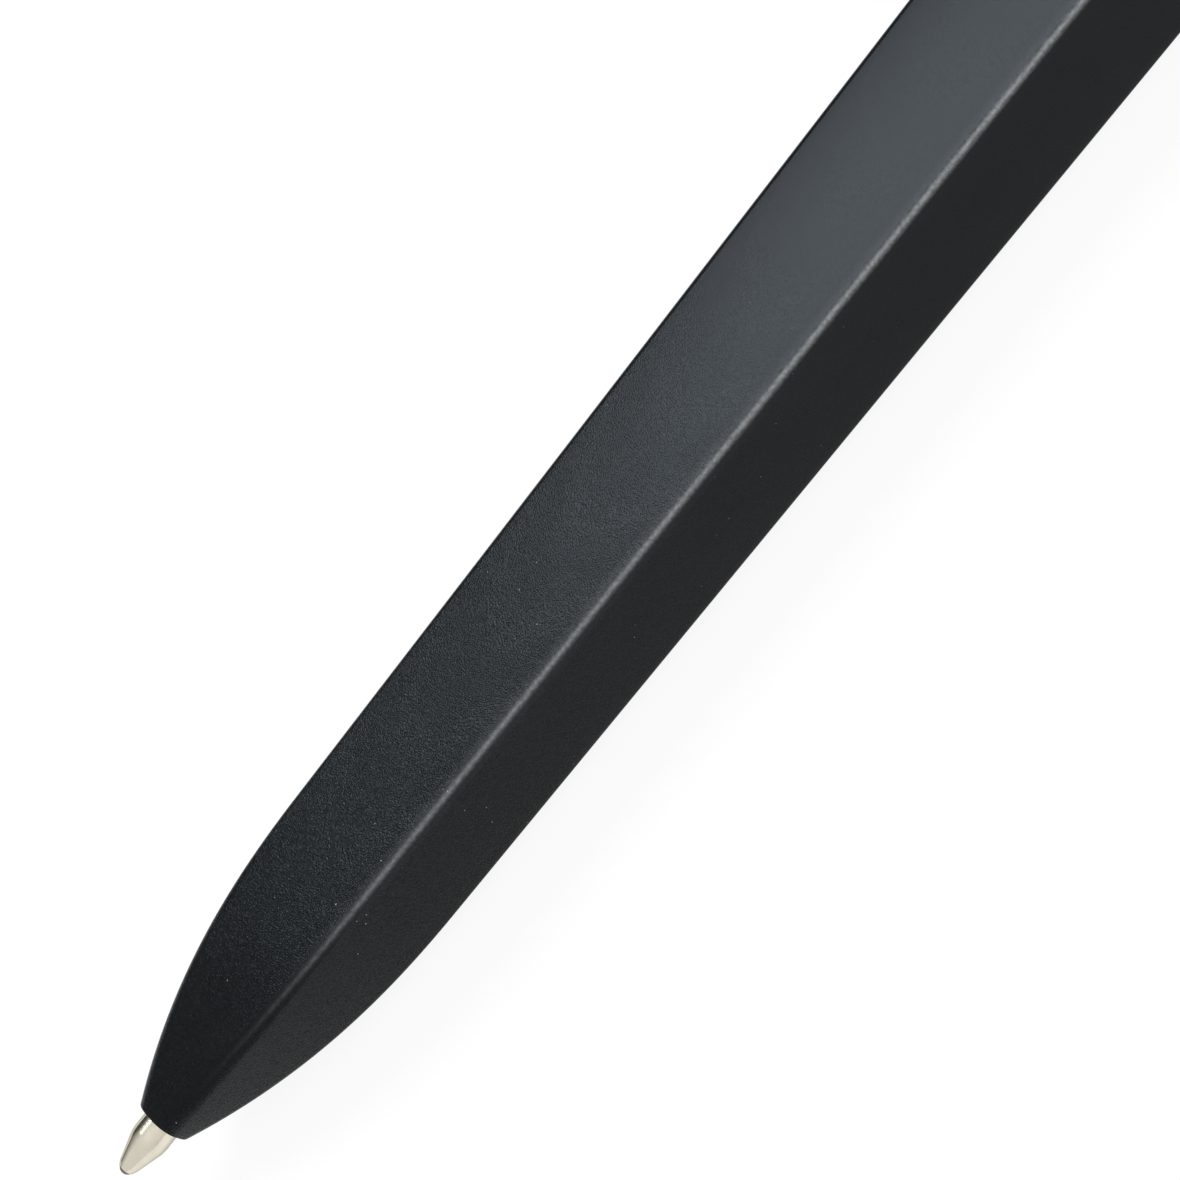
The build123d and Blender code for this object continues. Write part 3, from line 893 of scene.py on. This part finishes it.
# %% Studio walls
WALL_DIM, WALL_BRIGHT = 0.06, 0.85
TOWARD_BRIGHT = (-1.0, -0.5, 0.6)
DIM_UNTIL, BRIGHT_FROM = 0.1, 0.9
world = bpy.data.worlds.new("studio")
world.use_nodes = True
wall_nodes, wall_links = world.node_tree.nodes, world.node_tree.links
background = wall_nodes["Background"]
background.inputs["Color"].default_value = (1.0, 1.0, 1.0, 1.0)
direction = wall_nodes.new("ShaderNodeTexCoord")
brightward = wall_nodes.new("ShaderNodeVectorMath")
brightward.operation = "DOT_PRODUCT"
brightward.inputs[1].default_value = TOWARD_BRIGHT
wall_links.new(direction.outputs["Generated"], brightward.inputs[0])
wall_range = (WALL_DIM, WALL_BRIGHT, DIM_UNTIL, BRIGHT_FROM)
wall_glow = remap(wall_nodes, wall_links, brightward.outputs["Value"], *wall_range)
wall_links.new(wall_glow, background.inputs["Strength"])
bpy.context.scene.world = world
print("walls glow from", WALL_DIM, "to", WALL_BRIGHT)

# %% [markdown]
# ## Camera
#
# A long lens half a metre away keeps the pen's sides nearly parallel. The camera could be turned by eye,
# but three angles say it exactly: how far it goes round the pen, how high it looks down from, and how far
# it is rolled so that the pen runs up the picture from corner to corner.

# %% Camera
LENS, SENSOR, CAMERA_DISTANCE = 250.0, 36.0, 0.5
NEAR_LIMIT, FAR_LIMIT = 0.01, 50.0
AIM_X, AIM_SIDE = 47.37, -0.18
ROUND_THE_PEN, LOOKING_DOWN, ROLL = np.radians([19.518, 54.123, -67.493])
level = np.array([np.sin(ROUND_THE_PEN), -np.cos(ROUND_THE_PEN), 0.0])
back = np.cos(LOOKING_DOWN) * level + np.array([0.0, 0.0, np.sin(LOOKING_DOWN)])
flat_right = np.array([np.cos(ROUND_THE_PEN), np.sin(ROUND_THE_PEN), 0.0])
flat_up = np.cross(back, flat_right)
right = np.cos(ROLL) * flat_right + np.sin(ROLL) * flat_up
camera_place = to_frame(AIM_X, AIM_SIDE, 0.0) + CAMERA_DISTANCE * back
camera_turn = Matrix((right, np.cross(back, right), back)).transposed().to_4x4()
camera_data = bpy.data.cameras.new("camera")
camera_data.sensor_width, camera_data.lens = SENSOR, LENS
camera_data.clip_start, camera_data.clip_end = NEAR_LIMIT, FAR_LIMIT
camera = bpy.data.objects.new("camera", camera_data)
camera.matrix_world = Matrix.Translation(camera_place) @ camera_turn
bpy.context.scene.collection.objects.link(camera)
bpy.context.scene.camera = camera
bpy.context.scene.view_settings.view_transform = "Standard"
print("camera at", np.round(camera_place, 4))
